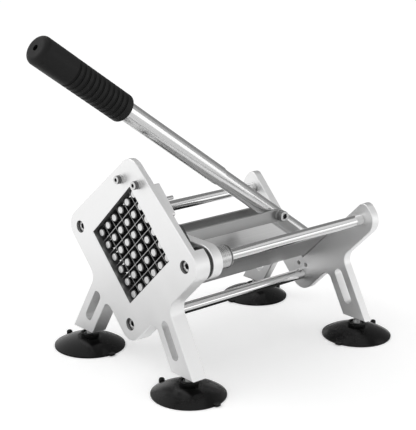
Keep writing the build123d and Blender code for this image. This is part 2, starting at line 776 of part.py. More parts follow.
link_bars = {}
for side, inner_x in (("left", -link_outer), ("right", link_inner)):
    with BuildPart() as link_bar:
        with BuildSketch(right_view(inner_x, (link_pin_y + bolt_y) / 2, bolt_z)):
            SlotCenterToCenter(link_length, link_height)
        extrude(amount=link_t)
        chamfer(link_bar.faces().sort_by(Axis.X)[0].edges(), link_edge)
        chamfer(link_bar.faces().sort_by(Axis.X)[-1].edges(), link_edge)
        with Locations(*[right_view(inner_x + link_t, y, z)
                         for y, z in (link_pin_spot, link_bolt_spot)]):
            Hole(link_bolt_d / 2 + running_gap, link_t)
    link_bars[side] = link_bar


# ---- Link lug on the carriage, and the pin that the bars turn on -----------------------------
lug_half = lever_d / 2
pin_washer_x = link_outer + seat_gap
pin_head_x = pin_washer_x + bolt_washer_t

with BuildPart() as link_lug:
    with BuildSketch(rear_view(carriage_back_y, 0, bolt_z)) as flange:
        RectangleRounded(2 * lug_half, lug_flange_height, lug_flange_t)
    extrude(amount=lug_flange_t)
    with BuildSketch(right_view(-lug_half, *link_pin_spot)):
        Circle(lug_r)
        with Locations((-link_pin_back, 0)):
            Rectangle(lug_flange_t, 2 * lug_r, align=(Align.MIN, Align.CENTER))
        make_hull()
    extrude(amount=2 * lug_half)
    with Locations(right_view(lug_half, *link_pin_spot)):
        Hole(link_bolt_d / 2 + thread_gap, 2 * lug_half)
    with Locations(*rear_views(carriage_back_y + lug_flange_t, lug_screw_spots)):
        Hole(lug_screw_d / 2 + hole_gap, lug_flange_t)

with BuildPart() as lug_screws:
    with Locations(*rear_views(carriage_back_y + lug_flange_t, lug_screw_spots)):
        add(cap_screw(lug_screw_d, lug_flange_t + lug_screw_grip))

with BuildPart() as link_pin:
    with Locations(right_view(pin_head_x, *link_pin_spot)):
        add(cap_screw(link_bolt_d, 2 * pin_head_x + link_nut_t + bolt_end))

link_washer = washer(link_nut_width / 2, link_bolt_d / 2 + hole_gap, bolt_washer_t)
link_hex_nut = hex_nut(link_nut_width, link_nut_t, link_bolt_d / 2 + thread_gap)

with BuildPart() as link_pin_washers:
    with Locations(
        right_view(pin_washer_x, *link_pin_spot), left_view(-pin_washer_x, *link_pin_spot)
    ):
        add(link_washer)

with BuildPart() as link_pin_nut:
    with Locations(left_view(-pin_head_x, *link_pin_spot)):
        add(link_hex_nut)


# ---- Link bolt at the lever, in two ends that stop beside the lever --------------------------
bolt_head_x = link_outer + bolt_washer_t
bolt_stub = bolt_head_x - link_inner

with BuildPart() as link_bolt_head_end:
    with Locations(right_view(bolt_head_x, *link_bolt_spot)):
        add(cap_screw(link_bolt_d, bolt_stub))

with BuildPart() as link_bolt_nut_end:
    with BuildSketch(left_view(-link_inner, *link_bolt_spot)):
        Circle(link_bolt_d / 2)
    extrude(amount=bolt_stub + link_nut_t + bolt_end)
    chamfer(link_bolt_nut_end.edges().group_by(Axis.X)[0], edge_break)

with BuildPart() as link_bolt_washers:
    with Locations(
        right_view(link_outer, *link_bolt_spot), left_view(-link_outer, *link_bolt_spot)
    ):
        add(link_washer)

with BuildPart() as link_bolt_nut:
    with Locations(left_view(-bolt_head_x, *link_bolt_spot)):
        add(link_hex_nut)


# ---- Lever: a round bar with its foot turned about the pivot, and the tube on it -------------
tube_length = grip_end - grip_wall - lever_step

with BuildPart() as lever_bar:
    with BuildSketch(along_lever(0)):
        Circle(lever_d / 2)
    extrude(amount=lever_step)
    with BuildSketch(along_lever(lever_step)):
        Circle(lever_spigot_d / 2)
    extrude(amount=lever_spigot_length)
    with Locations(along_lever(0)):
        Sphere(lever_d / 2)
    with Locations(right_view(lever_d, pivot_y, pivot_height)):
        Hole(pivot_d / 2 + running_gap, 2 * lever_d)
    with Locations(right_view(lever_d, *link_bolt_spot)):
        Hole(link_bolt_d / 2 + thread_gap, 2 * lever_d)

with BuildPart() as lever_cross_pin:
    with BuildSketch(right_view(0, *link_bolt_spot)):
        Circle(link_bolt_d / 2)
    extrude(amount=lever_d / 2, both=True)

with BuildPart() as lever_tube:
    with BuildSketch(along_lever(lever_step)):
        Circle(tube_d / 2)
        Circle(lever_spigot_d / 2 + thread_gap, mode=Mode.SUBTRACT)
    extrude(amount=tube_length)
    rims = lever_tube.edges().filter_by(GeomType.CIRCLE).sort_by(Axis.Y)
    chamfer(rims[-2:].sort_by(SortBy.LENGTH)[-1], edge_break)


# ---- Grip: a ribbed rubber sleeve with a small vent in its tip -------------------------------
grip_start = grip_end - grip_length

with BuildPart() as lever_grip:
    with BuildSketch(along_lever(grip_start)):
        Circle(grip_d / 2)
    extrude(amount=grip_length)
    grip_edges = lever_grip.edges().filter_by(GeomType.CIRCLE).sort_by(Axis.Z)
    fillet(grip_edges[-1], grip_tip_r)
    fillet(lever_grip.edges().filter_by(GeomType.CIRCLE).sort_by(Axis.Z)[0], grip_heel_r)
    groove_planes = [
        along_lever(grip_start + groove_start + step * groove_spacing)
        for step in range(groove_count)
    ]
    with Locations(*groove_planes):
        Torus(grip_d / 2, groove_r, mode=Mode.SUBTRACT)
    with BuildSketch(along_lever(grip_start)):
        Circle(tube_d / 2)
    extrude(amount=grip_length - grip_wall, mode=Mode.SUBTRACT)
    with BuildSketch(along_lever(grip_end)):
        Circle(vent_d / 2)
    extrude(amount=-grip_wall, mode=Mode.SUBTRACT)


# ---- Feet: suction cups on threaded studs ----------------------------------------------------
stud_length = foot_height + stud_grip - stud_root

with BuildPart() as foot_studs:
    with Locations(*[underfoot(x, y) for x, y in foot_points.values()]):
        with Locations((0, 0, foot_height - stud_root)):
            Cylinder(stud_d / 2, stud_length, align=HANG)

with BuildPart() as foot_nuts:
    with Locations(*[(x, y, cup_recess_floor) for x, y in foot_points.values()]):
        add(hex_nut(jam_nut_width, jam_nut_t, stud_d / 2 + thread_gap))

# The hollow under the cup is a shallow spherical cap.
cap_r = (hollow_r**2 + hollow_height**2) / (2 * hollow_height)
hollow_mid = (hollow_r / 2, hollow_height - cap_r + sqrt(cap_r**2 - (hollow_r / 2) ** 2))

with BuildPart() as cup:
    with BuildSketch(Plane.XZ) as cup_section:
        with BuildLine():
            ThreePointArc((hollow_r, 0), hollow_mid, (0, hollow_height))
            Polyline((0, hollow_height), (0, cup_top), (cup_neck_r, cup_top),
                     (cup_neck_r, dome_high[1]), dome_high)
            ThreePointArc(dome_high, dome_mid, (cup_r, cup_rim_t))
            Polyline((cup_r, cup_rim_t), (cup_r, 0), (hollow_r, 0))
        make_face()
    revolve(axis=Axis.Z)
    with Locations((0, 0, cup_recess_floor)):
        Cylinder(cup_recess_r, cup_top - cup_recess_floor, align=STAND, mode=Mode.SUBTRACT)
    with Locations((0, 0, stud_root)):
        Cylinder(stud_d / 2, cup_recess_floor - stud_root, align=STAND, mode=Mode.SUBTRACT)
    with BuildSketch(Plane.XY.offset(tongue_lift)):
        with Locations((0, -cup_r)):
            Circle(nub_r)
    extrude(amount=nub_height)
    fillet(cup.edges().filter_by(GeomType.CIRCLE).filter_by_position(
        Axis.Z, tongue_lift + nub_height, tongue_lift + nub_height), nub_round)
    with BuildSketch(Plane.XY.offset(tongue_lift)) as tongue:
        with Locations((0, cup_r + nub_r)):
            Rectangle(tongue_width, 2 * nub_r, align=(Align.CENTER, Align.MAX))
        fillet(tongue.vertices().group_by(Axis.Y)[-1], tongue_t)
    extrude(amount=tongue_t)

suction_cups = {}
for place, (x, y) in foot_points.items():
    with BuildPart() as suction_cup:
        with Locations(Location((x, y, 0), (0, 0, cup_turns[place]))):
            add(cup.part)
    suction_cups[place] = suction_cup


# ---- Names and files -------------------------------------------------------------------------
pieces = {
    "front_plate": front_plate,
    "rear_plate": rear_plate,
    **rods,
    "front_rod_screws": front_rod_screws,
    "rear_rod_screws": rear_rod_screws,
    "blade_frame": blade_frame,
    "frame_pin": frame_pin,
    "frame_washers": frame_washers,
    "frame_spring_washers": frame_spring_washers,
    "frame_screws": frame_screws,
    "rising_blades": rising_blades,
    "falling_blades": falling_blades,
    "pusher_pins": pusher_pins,
    "pusher_base": pusher_base,
    "carriage_plate": carriage_plate,
    "base_screws": base_screws,
    "potato_trough": potato_trough,
    "trough_screws": trough_screws,
    "pivot_bracket": pivot_bracket,
    "bracket_screws": bracket_screws,
    "pivot_bolt": pivot_bolt,
    "pivot_nut": pivot_nut,
    "link_lug": link_lug,
    "lug_screws": lug_screws,
    "link_pin": link_pin,
    "link_pin_washers": link_pin_washers,
    "link_pin_nut": link_pin_nut,
    "link_bolt_head_end": link_bolt_head_end,
    "link_bolt_nut_end": link_bolt_nut_end,
    "link_bolt_washers": link_bolt_washers,
    "link_bolt_nut": link_bolt_nut,
    "lever_bar": lever_bar,
    "lever_cross_pin": lever_cross_pin,
    "lever_tube": lever_tube,
    "lever_grip": lever_grip,
    "foot_studs": foot_studs,
    "foot_nuts": foot_nuts,
    **{f"guide_bush_{side}": bush for side, bush in bushes.items()},
    **{f"bush_ring_{side}": ring for side, ring in bush_rings.items()},
    **{f"bumper_{side}": bumper for side, bumper in bumpers.items()},
    **{f"link_bar_{side}": bar for side, bar in link_bars.items()},
    **{f"suction_cup_{place}": suction_cup for place, suction_cup in suction_cups.items()},
}

for name, piece in pieces.items():
    piece.part.label = name
    export_step(piece.part, f"parts/{name}.step")
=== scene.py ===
"""French fry cutter: finishes, fine shapes and studio, built round the CAD model.

Object coordinates are metres in the machine's own frame: X to the right seen from the front,
Y from the blade plate to the lever's pivot, Z up from the worktop.
"""

import json
import math
from functools import partial

import bmesh
import bpy
from bpy.props import FloatProperty, FloatVectorProperty, IntProperty, PointerProperty
from mathutils import Matrix, Vector


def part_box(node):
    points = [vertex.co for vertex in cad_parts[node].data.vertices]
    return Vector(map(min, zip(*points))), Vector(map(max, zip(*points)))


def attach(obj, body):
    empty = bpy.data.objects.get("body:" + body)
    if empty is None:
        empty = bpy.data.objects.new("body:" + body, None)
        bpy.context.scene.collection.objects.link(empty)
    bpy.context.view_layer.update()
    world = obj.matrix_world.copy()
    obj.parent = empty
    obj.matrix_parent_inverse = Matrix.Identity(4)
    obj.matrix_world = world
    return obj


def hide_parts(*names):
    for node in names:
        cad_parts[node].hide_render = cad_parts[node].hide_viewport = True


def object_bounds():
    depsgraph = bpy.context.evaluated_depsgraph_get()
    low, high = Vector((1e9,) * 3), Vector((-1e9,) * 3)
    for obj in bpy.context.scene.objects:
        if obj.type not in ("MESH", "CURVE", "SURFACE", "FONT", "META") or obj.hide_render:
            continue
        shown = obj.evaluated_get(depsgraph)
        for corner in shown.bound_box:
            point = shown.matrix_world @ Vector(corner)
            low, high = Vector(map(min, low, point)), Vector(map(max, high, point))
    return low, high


bl_info = {
    "name": "French Fry Cutter",
    "version": (1, 1, 0),
    "blender": (4, 5, 0),
    "location": "View3D > Sidebar > Fry Cutter",
    "description": "Dresses a lever-operated potato chipper: metal and rubber finishes, "
                   "knurled, threaded and chamfered fasteners, and a plain studio",
    "category": "Object",
}

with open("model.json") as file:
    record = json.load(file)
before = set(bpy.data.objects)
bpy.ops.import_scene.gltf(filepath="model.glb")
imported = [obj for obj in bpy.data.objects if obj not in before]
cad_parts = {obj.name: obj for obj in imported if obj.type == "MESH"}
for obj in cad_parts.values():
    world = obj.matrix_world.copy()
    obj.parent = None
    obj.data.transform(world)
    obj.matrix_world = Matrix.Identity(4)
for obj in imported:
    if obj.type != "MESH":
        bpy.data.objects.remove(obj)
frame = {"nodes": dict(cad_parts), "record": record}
CAD_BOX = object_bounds()
NODES = frame["nodes"]
BODIES = frame["record"]["behaviour"]["bodies"]

MM = 0.001
QUARTER = math.pi / 4                   # the window and its blades stand on a corner
LEVER_TILT = math.radians(34.66)        # lever above the horizontal, at rest
ALONG_LEVER = (-LEVER_TILT, 0, 0)

# Where a finish changes over a piece, in metres.
FRONT_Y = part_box("front_plate")[0].y
PIN_TIPS_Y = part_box("pusher_pins")[0].y
ROD_RIGHT = sum(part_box("guide_rod_right"), Vector()) / 2
TIE_ROD = sum(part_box("tie_rod"), Vector()) / 2
PIVOT = sum(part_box("pivot_bolt"), Vector()) / 2
GRIP_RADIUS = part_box("lever_grip")[1].x
GROOVE_RIM = GRIP_RADIUS - 0.1 * MM     # radius where the painted shade in a groove of the grip begins
GROOVE_FLOOR = GRIP_RADIUS - 0.9 * MM   # radius where that painted shade is darkest
GROOVED = (0.291, 0.350)                # from the pivot to the ends of the grooved part
WINDOW_WALL = 36.3 * MM                 # window's centre to a little past its walls
OPENING_WALL = 37.5 * MM                # the same for the blade frame's opening
BORE_WALL = 5.7 * MM                    # rod's axis to a little past its screw's counterbore
FACE_SKIN = 0.2 * MM                    # front plate's face to where the painted shade on its walls begins
TIP_SKIN = 0.1 * MM                     # pin's tip to where the painted shade on its side begins
HEAD_SKIN = 0.45 * MM                   # screw's top to where the painted shade on its flank begins


# ---- Colours and nodes ---------------------------------------------------------------------------
def linear(code):
    """An sRGB hex colour as linear RGB."""
    shares = [int(code[i:i + 2], 16) / 255 for i in (1, 3, 5)]
    return tuple(s / 12.92 if s <= 0.04045 else ((s + 0.055) / 1.055) ** 2.4 for s in shares)


def shade(colour, factor):
    """A colour made darker or lighter by a factor."""
    return tuple(min(1.0, part * factor) for part in colour)


def add_node(tree, kind, inputs=None, **settings):
    """Adds one node with its settings.

    An input is a plain value, a socket to link from, or a node to link from by its first output.
    """
    made = tree.nodes.new(kind)
    for name, value in settings.items():
        setattr(made, name, value)
    for name, value in (inputs or {}).items():
        if isinstance(value, bpy.types.Node):
            value = value.outputs[0]
        if isinstance(value, bpy.types.NodeSocket):
            tree.links.new(value, made.inputs[name])
        else:
            made.inputs[name].default_value = value
    return made


def new_finish(name, colour, metallic, roughness):
    """A material with one shader on its output, and its uniform values on the shader."""
    finish = bpy.data.materials.new(name)
    finish.use_nodes = True
    tree = finish.node_tree
    tree.nodes.clear()
    shader = add_node(tree, "ShaderNodeBsdfPrincipled", {
        "Base Color": (*colour, 1.0), "Metallic": metallic, "Roughness": roughness})
    add_node(tree, "ShaderNodeOutputMaterial", {"Surface": shader})
    return finish, tree, shader


def local_point(tree, centre=(0, 0, 0), turn=(0, 0, 0), cell=(1, 1, 1)):
    """The point on the surface, counted from a centre in cells of a size, along turned axes."""
    spot = add_node(tree, "ShaderNodeTexCoord").outputs["Object"]
    return add_node(tree, "ShaderNodeMapping", {
        "Vector": spot, "Location": centre, "Rotation": turn, "Scale": cell}, vector_type="TEXTURE")


def grain(tree, cell, turn=(0, 0, 0), detail=2.0, roughness=0.5):
    """Noise whose cells have the given size in millimetres along X, Y and Z, turned if asked."""
    cells = local_point(tree, turn=turn, cell=[size * MM for size in cell])
    return add_node(tree, "ShaderNodeTexNoise", {
        "Vector": cells, "Scale": 1.0, "Detail": detail, "Roughness": roughness}).outputs["Fac"]


# ---- Masks ---------------------------------------------------------------------------------------
def in_window(tree, reach):
    """1 inside a square on its corner about the window's centre, with its sides a reach away."""
    turned_in = local_point(tree, (0, 0, ROD_RIGHT.z), (0, QUARTER, 0))
    away = add_node(tree, "ShaderNodeVectorMath", {0: turned_in}, operation="ABSOLUTE")
    axes = add_node(tree, "ShaderNodeSeparateXYZ", {"Vector": away}).outputs
    farther = add_node(tree, "ShaderNodeMath", {0: axes["X"], 1: axes["Z"]}, operation="MAXIMUM")
    return add_node(tree, "ShaderNodeMath", {0: farther, 1: reach}, operation="LESS_THAN")


def near_rods(tree, radius):
    """1 where the surface is within a radius of the axis of a guide rod or the tie rod."""
    axes = add_node(tree, "ShaderNodeSeparateXYZ", {"Vector": local_point(tree)}).outputs
    across = add_node(tree, "ShaderNodeMath", {0: axes["X"]}, operation="ABSOLUTE")
    distances = []
    for sideways, centre in ((across, ROD_RIGHT), (axes["X"], TIE_ROD)):
        flat = add_node(tree, "ShaderNodeCombineXYZ", {"X": sideways, "Z": axes["Z"]})
        distances.append(add_node(tree, "ShaderNodeVectorMath", {
            0: flat, 1: (centre.x, 0, centre.z)}, operation="DISTANCE").outputs["Value"])
    nearer = add_node(tree, "ShaderNodeMath", dict(enumerate(distances)), operation="MINIMUM")
    return add_node(tree, "ShaderNodeMath", {0: nearer, 1: radius}, operation="LESS_THAN")


def below(tree, level, outward=(0, -1, 0)):
    """1 where the surface lies below a level, measured along the outward direction."""
    height = add_node(tree, "ShaderNodeVectorMath", {0: local_point(tree), 1: outward},
                      operation="DOT_PRODUCT").outputs["Value"]
    return add_node(tree, "ShaderNodeMath", {0: height, 1: level}, operation="LESS_THAN")


def shade_in_front(tree):
    """1 on the walls of the front plate's window and counterbores, but not on its face: where
    painted shade goes.
    """
    cuts = add_node(tree, "ShaderNodeMath", {
        0: in_window(tree, WINDOW_WALL), 1: near_rods(tree, BORE_WALL)}, operation="MAXIMUM")
    return add_node(tree, "ShaderNodeMath", {
        0: cuts, 1: below(tree, -FRONT_Y - FACE_SKIN)}, operation="MULTIPLY")


def shade_in_grooves(tree):
    """1 in the grooves round the grip, fading to 0 at their rims: where painted shade goes."""
    about_axis = local_point(tree, (0, PIVOT.y, PIVOT.z), ALONG_LEVER)
    axes = add_node(tree, "ShaderNodeSeparateXYZ", {"Vector": about_axis}).outputs
    flat = add_node(tree, "ShaderNodeCombineXYZ", {"X": axes["X"], "Z": axes["Z"]})
    radius = add_node(tree, "ShaderNodeVectorMath", {0: flat}, operation="LENGTH").outputs["Value"]
    depth = add_node(tree, "ShaderNodeMapRange", {
        "Value": radius, "From Min": GROOVE_FLOOR, "From Max": GROOVE_RIM,
        "To Min": 1.0, "To Max": 0.0})
    near, far = GROOVED
    grooved = add_node(tree, "ShaderNodeMath", {
        0: axes["Y"], 1: -(near + far) / 2, 2: (far - near) / 2}, operation="COMPARE")
    return add_node(tree, "ShaderNodeMath", {0: depth, 1: grooved}, operation="MULTIPLY")


# ---- Finishes ------------------------------------------------------------------------------------
# Sizes of the patterns, in millimetres. Grit, streaks and rings are several times as coarse as
# the real ones, which are too fine to show.
CLOUDS = 35                             # patches where a blasted face is a little duller
GRIT = 0.35                             # single grains of the blasting
GRIT_DEPTH = 0.01
STREAK = 90                             # length of the marks of drawing or grinding
ENDLESS = 400                           # length of the rings of turning, which close on themselves
RING_DEPTH = 0.015
DUST = 9                                # patches of dust on rubber
MIDDLE = {"From Min": 0.3, "From Max": 0.7}     # the range that most of a pattern's values lie in


def varied(tree, shader, pattern, tones, roughness, scatter, painted_shade=None, relief=None):
    """Lets a pattern move a finish between two tones, and its roughness by a scatter.

    painted_shade holds a mask and the darker colour painted where it marks: painted shade on walls,
    sides and in grooves. relief holds the pattern that stands up from the surface, its height in
    millimetres and its strength.
    """
    dark, light = tones
    share = add_node(tree, "ShaderNodeMapRange", {
        "Value": pattern, **MIDDLE, "To Min": 0.0, "To Max": 1.0})
    tone = add_node(tree, "ShaderNodeMix", {
        "Factor": share, "A": (*dark, 1.0), "B": (*light, 1.0)}, data_type="RGBA")
    if painted_shade:
        mask, colour = painted_shade
        tone = add_node(tree, "ShaderNodeMix", {
            "Factor": mask(tree), "A": tone.outputs["Result"], "B": (*colour, 1.0)},
            data_type="RGBA")
    tree.links.new(tone.outputs["Result"], shader.inputs["Base Color"])
    low, high = scatter
    rough = add_node(tree, "ShaderNodeMapRange", {
        "Value": pattern, **MIDDLE, "To Min": roughness + low, "To Max": roughness + high})
    tree.links.new(rough.outputs["Result"], shader.inputs["Roughness"])
    if relief:
        height, depth, strength = relief
        bump = add_node(tree, "ShaderNodeBump", {
            "Height": height, "Distance": depth * MM, "Strength": strength})
        tree.links.new(bump.outputs["Normal"], shader.inputs["Normal"])


def blasted_aluminium(name, colour, roughness, painted_shade=None):
    """Bead-blasted, clear-anodised aluminium: an even pale matte with a very fine grit.

    Bores and window walls can be given painted shade: a darker colour for the shade that falls in
    them.
    """
    finish, tree, shader = new_finish(name, colour, 1.0, roughness)
    clouds = grain(tree, (CLOUDS, CLOUDS, CLOUDS), detail=3.0)
    grit = grain(tree, (GRIT, GRIT, GRIT))
    varied(tree, shader, clouds, (shade(colour, 0.965), colour), roughness, (-0.04, 0.05),
           painted_shade, (grit, GRIT_DEPTH, 1.0))
    return finish


def drawn_steel(name, colour, roughness, turn=(0, 0, 0), width=0.6):
    """Stainless bar drawn or ground along its length: long thin streaks in its shine."""
    finish, tree, shader = new_finish(name, colour, 1.0, roughness)
    streaks = grain(tree, (width, STREAK, width), turn, detail=3.0, roughness=0.6)
    varied(tree, shader, streaks, (shade(colour, 0.9), colour), roughness, (-0.04, 0.06))
    return finish


def turned_steel(name, colour, roughness, cell, painted_shade=None):
    """Steel cut on a lathe: fine rings across the axis that the cell is thin along.

    A cell as long each way gives small parts an even grain instead. What lies below a faced end can
    be given painted shade, which leaves the end lighter.
    """
    finish, tree, shader = new_finish(name, colour, 1.0, roughness)
    rings = grain(tree, cell)
    varied(tree, shader, rings, (shade(colour, 0.82), colour), roughness, (-0.07, 0.08),
           painted_shade, (rings, RING_DEPTH, 0.7))
    return finish


def moulded_rubber(name, colour, roughness, pebble, depth, gloss=0.5, painted_shade=None):
    """Black moulded rubber, or nylon: soft sheen, a fine pebble, and a breath of pale dust."""
    finish, tree, shader = new_finish(name, colour, 0.0, roughness)
    shader.inputs["Specular IOR Level"].default_value = gloss
    dust = grain(tree, (DUST, DUST, DUST), detail=5.0, roughness=0.65)
    pebbles = grain(tree, (pebble, pebble, pebble))
    varied(tree, shader, dust, (colour, shade(colour, 1.6)), roughness, (-0.05, 0.06),
           painted_shade, (pebbles, depth, 1.0))
    return finish


class CutterFinishes(bpy.types.PropertyGroup):
    """Colours and roughness of the finishes."""

    plate: FloatVectorProperty(name="Plates", description="Blasted aluminium of the plates",
                               subtype="COLOR", size=3, min=0, max=1, default=linear("#EDEDED"))
    plate_roughness: FloatProperty(name="Plate roughness", description="Matte of the blasting",
                                   subtype="FACTOR", default=0.48, min=0.05, max=1)
    rod: FloatVectorProperty(name="Rods", description="Ground stainless of the rods",
                             subtype="COLOR", size=3, min=0, max=1, default=linear("#D4D4D4"))
    lever: FloatVectorProperty(name="Lever", description="Polished stainless of the lever",
                               subtype="COLOR", size=3, min=0, max=1, default=linear("#E0E0E0"))
    steel: FloatVectorProperty(name="Steel", description="Stainless of screws, bars and sheet",
                               subtype="COLOR", size=3, min=0, max=1, default=linear("#C5C5C5"))
    rubber: FloatVectorProperty(name="Rubber", description="Grip, cups and bumpers",
                                subtype="COLOR", size=3, min=0, max=1, default=linear("#1C1C1C"))
    plastic: FloatVectorProperty(name="Plastic", description="Pusher base",
                                 subtype="COLOR", size=3, min=0, max=1, default=linear("#3A3A3A"))


class CutterShapes(bpy.types.PropertyGroup):
    """Sizes of the fine shapes on fasteners."""

    ridges: IntProperty(name="Knurl ridges", description="Ridges round a screw's head",
                        default=40, min=12, max=96)
    knurl_depth: FloatProperty(name="Knurl depth", description="Height of a ridge",
                               default=0.16 * MM, min=0, max=MM, unit="LENGTH")
    thread_pitch: FloatProperty(name="Thread pitch", description="Pitch of the foot studs' thread",
                                default=1.0 * MM, min=0.2 * MM, max=3 * MM, unit="LENGTH")
    thread_depth: FloatProperty(name="Thread depth", description="Crest to root of that thread",
                                default=0.55 * MM, min=0, max=MM, unit="LENGTH")
    spin_seed: IntProperty(name="Spin seed", description="Picks how far each screw is turned in",
                           default=7, min=0)


class CutterStudio(bpy.types.PropertyGroup):
    """Camera and light."""

    lens: FloatProperty(name="Lens", description="Focal length on a 36 mm sensor",
                        default=103.25, min=20, max=400, unit="CAMERA")
    key: FloatProperty(name="Key lamp", description="Power of the large lamp at the front left",
                       default=6.0, min=0, unit="POWER")
    low: FloatProperty(name="Low lamp", description="Power of the low lamp at the back right",
                       default=1.0, min=0, unit="POWER")
    surroundings: FloatProperty(name="Surroundings", description="Light of the white room",
                                default=0.85, min=0, max=2)


def finishes():
    """The finishes' settings in the open scene."""
    return bpy.context.scene.cutter_finishes


def shapes():
    """The fine shapes' settings in the open scene."""
    return bpy.context.scene.cutter_shapes


def dress(finish, *names):
    """Gives CAD nodes a finish."""
    for name in names:
        mesh = NODES[name].data
        mesh.materials.clear()
        mesh.materials.append(finish)


# ---- Shapes --------------------------------------------------------------------------------------
WELD = 0.002 * MM                       # corners closer than this are one


def home(node):
    """The body that a CAD node belongs to."""
    return next(body for body, members in BODIES.items() if node in members)


def solids(node):
    """Lowest and highest corner of each separate solid in a CAD node."""
    copy = bmesh.new()
    copy.from_mesh(NODES[node].data)
    bmesh.ops.remove_doubles(copy, verts=copy.verts, dist=WELD)
    waiting = set(copy.verts)
    boxes = []
    while waiting:
        group = [waiting.pop()]
        for vert in group:
            for edge in vert.link_edges:
                other = edge.other_vert(vert)
                if other in waiting:
                    waiting.remove(other)
                    group.append(other)
        places = [vert.co for vert in group]
        boxes.append((Vector(map(min, *places)), Vector(map(max, *places))))
    copy.free()
    if not boxes:
        raise RuntimeError(f"{node} has no solids to read places from")
    return sorted(boxes, key=lambda box: tuple(round(value, 5) for value in box[0]))


def turned(name, steps, profile, closed=False):
    """A skin round the Z axis. The profile gives its radii and heights in metres for a turn."""
    mesh = bmesh.new()
    columns = []
    for step in range(steps + 1):
        turn = math.tau * step / steps
        columns.append([mesh.verts.new((r * math.cos(turn), r * math.sin(turn), z))
                        for r, z in profile(turn)])
    for column, following in zip(columns, columns[1:]):
        rows = list(zip(column, following))
        for (a, b), (c, d) in zip(rows, rows[1:] + rows[:1] if closed else rows[1:]):
            mesh.faces.new((a, b, d, c))
    bmesh.ops.remove_doubles(mesh, verts=mesh.verts, dist=WELD)
    bmesh.ops.recalc_face_normals(mesh, faces=mesh.faces)
    data = bpy.data.meshes.new(name)
    mesh.to_mesh(data)
    mesh.free()
    data.shade_smooth()
    data.set_sharp_from_angle(angle=math.radians(32))
    return data


def hexagon(width, turn):
    """Distance to the edge of a hexagon with a corner on the X axis, for a turn."""
    return width / 2 / math.cos(turn % (math.pi / 3) - math.pi / 6)


def screw_blank(size, length, knurl):
    """Socket cap screw before knurling: its head stands on Z = 0 and the shank points down."""
    head = (1.5 * size + MM) / 2
    root = head - knurl
    socket = 0.9 * size * math.cos(math.pi / 6)
    bevel = 0.08 * size
    tip = 0.1 * size

    def profile(turn):
        wall = hexagon(socket, turn)
        return ((0, 0.4 * size), (wall, 0.45 * size),                       # drilled socket floor
                (wall, 0.96 * size), (0.6 * socket, size),                  # wall and countersink
                (head - 1.6 * bevel, size), (head - 0.7 * bevel, size - 0.3 * bevel),   # top edge
                (root, size - 1.4 * bevel), (root, 1.2 * bevel),            # roots of the knurl
                (head, 0.9 * bevel), (head, 0), (size / 2, 0),              # collar and seat
                (size / 2, tip - length), (size / 2 - tip, -length), (0, -length))

    return turned("screw_blank", 72, profile)


def nut_blank(width, height, bore):
    """Hexagon nut on Z = 0, with its corners chamfered and its bore countersunk."""
    lead = 0.05 * width
    seat = 0.475 * width

    def profile(turn):
        side = hexagon(width, turn)
        drop = (side - seat) * math.tan(math.pi / 6)
        return ((bore + lead, 0), (seat, 0), (side, drop), (side, height - drop), (seat, height),
                (bore + lead, height), (bore, height - lead), (bore, lead))

    return turned("nut_blank", 48, profile, closed=True)


def stud_blank(radius, length, pitch, depth):
    """Threaded stud standing on Z = 0."""
    rows = 2 * math.ceil(length / pitch) + 4

    def profile(turn):
        rise = pitch * (turn / math.tau - 1)
        points = [(0, 0)]
        for row in range(rows):
            height = rise + row * pitch / 2
            inside = pitch / 4 < height < length - pitch / 4
            crest = row % 2 == 0 and inside
            points.append((radius if crest else radius - depth, min(max(height, 0), length)))
        return (*points, (0, length))

    return turned("stud_blank", 32, profile)


def ridge_blank(length, height, half_width):
    """One ridge of a knurl: its base on X = 0, its crest towards X, and its length along Z."""
    data = bpy.data.meshes.new("knurl_ridge")
    slope = 1.5 * height
    root = -0.3 * height
    corners = [(root, -half_width, 0), (root, half_width, 0), (height, 0, slope),
               (root, -half_width, length), (root, half_width, length), (height, 0, length - slope)]
    data.from_pydata(corners, [], [(0, 2, 1), (3, 4, 5), (0, 3, 5, 2), (1, 2, 5, 4), (0, 1, 4, 3)])
    data.flip_normals()
    return data


def empty_tree(name, *sockets):
    """A geometry tree with named inputs, its input node's sockets, and its one geometry output."""
    tree = bpy.data.node_groups.new(name, "GeometryNodeTree")
    for label, kind in sockets:
        tree.interface.new_socket(label, in_out="INPUT", socket_type=f"NodeSocket{kind}")
    tree.interface.new_socket("Geometry", in_out="OUTPUT", socket_type="NodeSocketGeometry")
    return tree, add_node(tree, "NodeGroupInput").outputs


def end_tree(tree, geometry, material):
    """Makes a tree's instances real, gives them the material and sends them out."""
    real = add_node(tree, "GeometryNodeRealizeInstances", {"Geometry": geometry})
    clad = add_node(tree, "GeometryNodeSetMaterial", {
        "Geometry": real.outputs["Geometry"], "Material": material})
    add_node(tree, "NodeGroupOutput", {"Geometry": clad.outputs["Geometry"]})
    return tree


